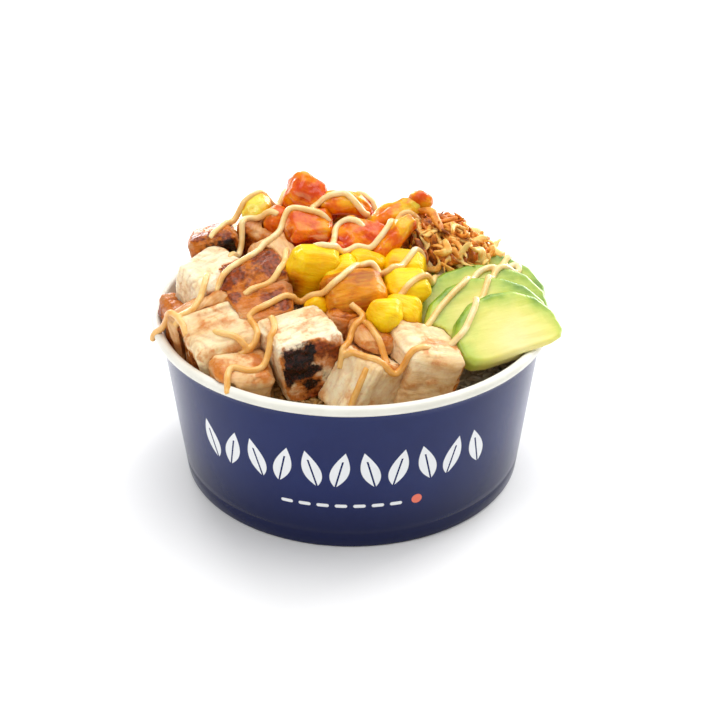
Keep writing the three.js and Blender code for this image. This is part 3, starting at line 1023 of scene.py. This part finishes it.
def drizzle_tree():
    """A round thread of sauce along each line of points, as thick as its points say."""
    tree, given, out = new_tree(
        "drizzled", "GeometryNodeTree", {"Geometry": "Geometry"}, Geometry="Geometry",
        Thickness=0.0012, Unevenness=0.2, Sides=8, Material="Material",
    )
    thick = add(tree, "GeometryNodeInputNamedAttribute", {"Name": "thick"}, data_type="FLOAT")
    line = add(tree, "GeometryNodeMeshToCurve", {"Mesh": given["Geometry"]})
    wobble = add(tree, "ShaderNodeTexNoise", {"Scale": 220.0, "Detail": 1.0})
    uneven = (Number(wobble.outputs["Fac"]) - 0.5) * Number(given["Unevenness"])
    sized = add(tree, "GeometryNodeSetCurveRadius", {
        "Curve": line.outputs[0],
        "Radius": Number(thick.outputs["Attribute"]) * (uneven * 2.0 + 1.0),
    })
    ring = add(tree, "GeometryNodeCurvePrimitiveCircle", {
        "Resolution": given["Sides"], "Radius": given["Thickness"],
    })
    tube = add(tree, "GeometryNodeCurveToMesh", {
        "Curve": sized.outputs[0], "Profile Curve": ring.outputs[0], "Fill Caps": True,
    })
    return made_real(tree, tube.outputs[0], given, out)


def lofted(name, path, rings):
    """A closed tube through a path, with a ring of points for each path point."""
    vertices, faces = [], []
    count = len(rings[0])
    for centre, ring in zip(path, rings):
        vertices += [tuple((np.array(centre) + np.array(point)) * MM) for point in ring]
    for i in range(len(path) - 1):
        faces += ring_faces(i, count)
    faces.append(tuple(reversed(range(count))))
    faces.append(tuple(range((len(path) - 1) * count, len(path) * count)))
    mesh = bpy.data.meshes.new(name)
    mesh.from_pydata(vertices, [], faces)
    return joined_up(mesh, 0.0)


def onion_strip(index):
    """One fried strip of onion: a thin curled ribbon that tapers to its ends."""
    length = 7.0 + 1.5 * index
    curl = (0.35, 1.3, 0.8, 1.7, 1.1, 0.6)[index]
    twist = (0.4, -0.9, 1.2, 0.3, -0.5, 0.9)[index]
    path, rings = [], []
    steps, sides = 9, 6
    for i in range(steps + 1):
        part = i / steps - 0.5
        angle = curl * part * 2
        path.append((
            length * math.sin(angle) / (2 * curl),
            length * 0.16 * math.cos(angle * 1.6) + 0.6 * math.sin(9 * part + index),
            (1 - math.cos(angle)) * length * 0.12 + 0.5 * math.sin(7 * part + 2 * index),
        ))
        slim = math.sqrt(max(0.08, 1 - (2 * part) ** 4))
        wide, thick = (1.15 + 0.2 * (index % 3)) * slim, 0.55 * slim
        sine, cosine = math.sin(twist * part * 3), math.cos(twist * part * 3)
        ring = []
        for k in range(sides):
            round_it = 2 * math.pi * k / sides
            y, z = wide * math.cos(round_it), thick * math.sin(round_it)
            ring.append((0.0, y * cosine - z * sine, y * sine + z * cosine))
        rings.append(ring)
    return lofted("onion_strip_%d" % index, path, rings)


def rice_grain(index):
    """One plump grain, a little bent, the second kind the other way."""
    length, width = 5.4 + 0.5 * index, 1.05 + 0.06 * index
    bend = 0.25 if index else -0.25
    sides = 6
    path, rings = [], []
    for part in (-0.97, -0.75, -0.3, 0.3, 0.75, 0.97):
        path.append((part * length / 2, bend * (1 - part * part), 0.0))
        radius = width * math.sqrt(1 - part * part) * (1 - 0.08 * part)
        angles = [2 * math.pi * k / sides for k in range(sides)]
        rings.append([(0.0, radius * math.cos(a), 0.85 * radius * math.sin(a)) for a in angles])
    return lofted("rice_grain_%d" % index, path, rings)


def scattered_over(core, node, slot, name, cover, meshes, tree, material, **sizes):
    """Finish a node's core, with a new piece over it of loose things of a few kinds."""
    kinds = bpy.data.collections.new(name + "_kinds")
    for mesh in meshes:
        kinds.objects.link(bpy.data.objects.new(mesh.name, mesh))
    surface = core.data.copy()
    surface.name = name
    write_values(surface, cover=cover)
    values = {"Pieces": kinds, "Material": material, **sizes}
    piece = with_tree(added(name, surface), tree, values)
    for kind in list(kinds.objects):
        bpy.data.objects.remove(kind)
    bpy.data.collections.remove(kinds)
    finished(core, node, slot, material)
    finished(piece, None, slot, material)
    return core


def make_onion(tree):
    """The heap of fried onion: strips over a smaller core, toasted dark as painted shade in the
    gaps between the strips.
    """
    core = fine_skinned("onion_heap", "onion_core", 1.0, 8, -2.6)
    points = points_of(core)
    # the core's dark toast is painted shade, seen in the gaps between the strips
    relieved(core, 1.1 * noise(points * 0.3, 3), shade=0.8 + 0.15 * noise(points * 0.25, 4))
    return scattered_over(
        core, "onion_heap", "onion", "onion_strips",
        smooth_step(-0.3, 0.1, normals_of(core)[:, 2]),
        [onion_strip(index) for index in range(6)], tree, onion_finish(),
        Spacing=2.0 * MM, Density=500000.0, Tilt=0.4, Lowest=-0.4 * MM, Highest=2.4 * MM,
        Smallest=0.85, Largest=1.5, Seed=11,
    )


def make_rice(tree):
    """The rice: grains over a slightly smaller bed."""
    core = fine_skinned("rice_bed", "rice_core", 1.6, 2, -1.0)
    write_values(core.data, shade=np.full(len(core.data.vertices), 0.6))
    scattered_over(
        core, "rice_bed", "rice", "rice_grains", smooth_step(0.3, 0.5, normals_of(core)[:, 2]),
        [rice_grain(index) for index in range(2)], tree, rice_finish(),
        Spacing=1.9 * MM, Density=300000.0, Tilt=0.45, Lowest=0.0, Highest=1.1 * MM,
        Smallest=0.85, Largest=1.1, Seed=23,
    )


# ---- sauce

SAUCE_RADIUS = 1.4
SAUCE_STEP = 0.8  # about how far apart a strand's points are
DRAPED_SLOPE = 1.7  # how steeply a strand can hang from what holds it up
SUNK = 0.3 * SAUCE_RADIUS  # how high a strand's middle lies over the food


def joined_tree(pieces):
    """One search tree over every surface that sauce can lie on, in millimetres."""
    vertices, faces, base = [], [], 0
    for piece in pieces:
        points = points_of(piece)
        vertices.append(points)
        faces += [tuple(base + i for i in side.vertices) for side in piece.data.polygons]
        base += len(points)
    return BVHTree.FromPolygons(np.concatenate(vertices).tolist(), faces)


def rounded_route(marks):
    """A smooth line of close points through plan points."""
    marks = [np.array(mark, float) for mark in marks]
    ends = [2 * marks[0] - marks[1]] + marks + [2 * marks[-1] - marks[-2]]
    route = []
    for before, start, end, after in zip(ends, ends[1:], ends[2:], ends[3:]):
        count = max(2, int(np.linalg.norm(end - start) / SAUCE_STEP))
        for t in np.arange(count) / count:
            route.append(0.5 * (
                2 * start + (end - before) * t
                + (2 * before - 5 * start + 4 * end - after) * t ** 2
                + (3 * start - before - 3 * end + after) * t ** 3
            ))
    return np.array(route + [marks[-1]])


def draped(route, ground):
    """Let a line fall on the food: it follows what is under it and bridges narrow gaps."""
    above, down, nothing_under = 200, Vector((0, 0, -1)), 60.0
    hits = [ground.ray_cast(Vector((x, y, above)), down)[0] for x, y in route]
    heights = np.array([hit.z if hit else nothing_under for hit in hits])
    gone = np.concatenate([[0], np.cumsum(np.linalg.norm(np.diff(route, axis=0), axis=1))])
    drop = DRAPED_SLOPE * np.abs(gone[:, None] - gone[None, :])
    line = np.column_stack([route, (heights[None, :] - drop).max(axis=1) + SUNK])
    for _ in range(4):
        for _ in range(4):
            line[1:-1] = (line[:-2] + 2 * line[1:-1] + line[2:]) / 4
        for i, point in enumerate(line):
            near, normal, _, gap = ground.find_nearest(Vector(point))
            if gap < 3.0 and (Vector(point) - near).dot(normal) < SUNK:
                line[i] = np.array(near + normal * SUNK)
    return line


def make_sauce(ground):
    """Thin strands of sauce over everything, run together where they cross."""
    material = sauce_finish()
    vertices, edges, thick = [], [], []
    for number, marks in enumerate(STRANDS.values()):
        route = rounded_route(marks)
        sway = np.column_stack([route, np.full(len(route), number * 7.0)])
        route = route + 0.5 * np.column_stack([noise(sway * 0.16, seed) for seed in (61, 62)])
        line = draped(route, ground)
        from_end = np.minimum(np.arange(len(line)), np.arange(len(line))[::-1]) * SAUCE_STEP
        line[:, 2] -= 1.1 * SAUCE_RADIUS * smooth_step(4, 0, from_end)
        start = len(vertices)
        vertices += [tuple(point * MM) for point in line]
        edges += [(start + i, start + i + 1) for i in range(len(line) - 1)]
        slim = 0.7 if marks[0][0] > 55 else 1.0  # thinner over the avocado
        swell = slim * (1 + 0.45 * noise(sway * 0.09, 63))
        thick += list(swell * (0.35 + 0.65 * smooth_step(0, 6, from_end)))
    mesh = bpy.data.meshes.new("sauce")
    mesh.from_pydata(vertices, edges, [])
    write_values(mesh, thick=thick)
    piece = with_tree(added("sauce_drizzle", mesh), drizzle_tree(), {
        "Thickness": SAUCE_RADIUS * MM, "Material": material,
    })
    softened(piece, 0.42, 4)
    piece.data.materials.clear()
    points = points_of(piece)
    # painted shade: lower sauce towards the front left is made browner
    low = smooth_step(100, 82, points[:, 2])
    low *= smooth_step(45, 15, points[:, 0]) * smooth_step(10, -15, points[:, 1])
    write_values(piece.data, soaked=0.12 + 0.4 * low + 0.2 * noise(points * 0.05, 64))
    return finished(piece, None, "chicken", material)


# ---- the scene


def make_stage():
    """A pale floor just under the bowl, a white surround and four soft lights."""
    reach = 40.0
    corners = [(-reach, -reach, 0), (reach, -reach, 0), (reach, reach, 0), (-reach, reach, 0)]
    floor = bpy.data.meshes.new("floor")
    floor.from_pydata(corners, [], [(0, 1, 2, 3)])
    table = added("floor", floor)
    table.location.z = -0.2 * MM
    material, tree = new_finish("pale_floor", roughness=0.9)
    tree.nodes["Principled BSDF"].inputs["Base Color"].default_value = (0.92, 0.92, 0.92, 1)
    floor.materials.append(material)
    world = bpy.data.worlds.new("studio")
    scene.world = world
    world.use_nodes = True
    background = world.node_tree.nodes["Background"]
    background.inputs["Color"].default_value = (1.0, 1.0, 1.0, 1)
    background.inputs["Strength"].default_value = 0.45
    middle = Vector((0, 0, 0.06))
    for name, kind, place, size, power in (
        ("overhead", "SUN", (0.2, 0.3, 1.2), math.radians(60), 2.3),
        ("key", "AREA", (-0.7, -0.5, 1.0), 0.5, 4.0),
        ("left edge", "AREA", (-0.38, 0.92, 0.3), 0.35, 4.2),
        ("right edge", "AREA", (0.62, 0.7, 0.3), 0.6, 9.5),
    ):
        lamp = bpy.data.lights.new(name, kind)
        setattr(lamp, "angle" if kind == "SUN" else "size", size)
        lamp.energy = power
        aimed(bpy.data.objects.new(name, lamp), Vector(place), middle)


def aimed(thing, place, target):
    """Stand a lamp or camera at a place and turn it to a target."""
    thing.location = place
    thing.rotation_euler = (target - place).to_track_quat("-Z", "Y").to_euler()
    scene.collection.objects.link(thing)
    return thing


def make_camera():
    lens = bpy.data.cameras.new("camera")
    lens.lens = 75
    lens.sensor_width = 36
    place, target = Vector((3.5, -546.8, 364.8)) * MM, Vector((3.5, 0, 44.0)) * MM
    scene.camera = aimed(bpy.data.objects.new("camera", lens), place, target)


make_camera()
make_stage()
scene.view_settings.view_transform = "Standard"

surfaces = [make_bowl()]
for kind, looks, make, material, first_seed in (
    ("chicken", CHICKEN, make_chicken, chicken_finish(), 1),
    ("mango", MANGO, make_mango, mango_finish(), 40),
    ("tomato", TOMATO, make_tomato, tomato_finish(), 70),
    ("avocado", AVOCADO, make_avocado, avocado_finish(), 100),
):
    for index, look in enumerate(looks):
        node = "%s_%02d" % (kind, index + 1)
        piece = make(node, first_seed + index, **look)
        surfaces.append(finished(piece, node, kind, material))
laying = scatter_tree()
surfaces.append(make_onion(laying))
make_rice(laying)
make_sauce(joined_tree(surfaces))
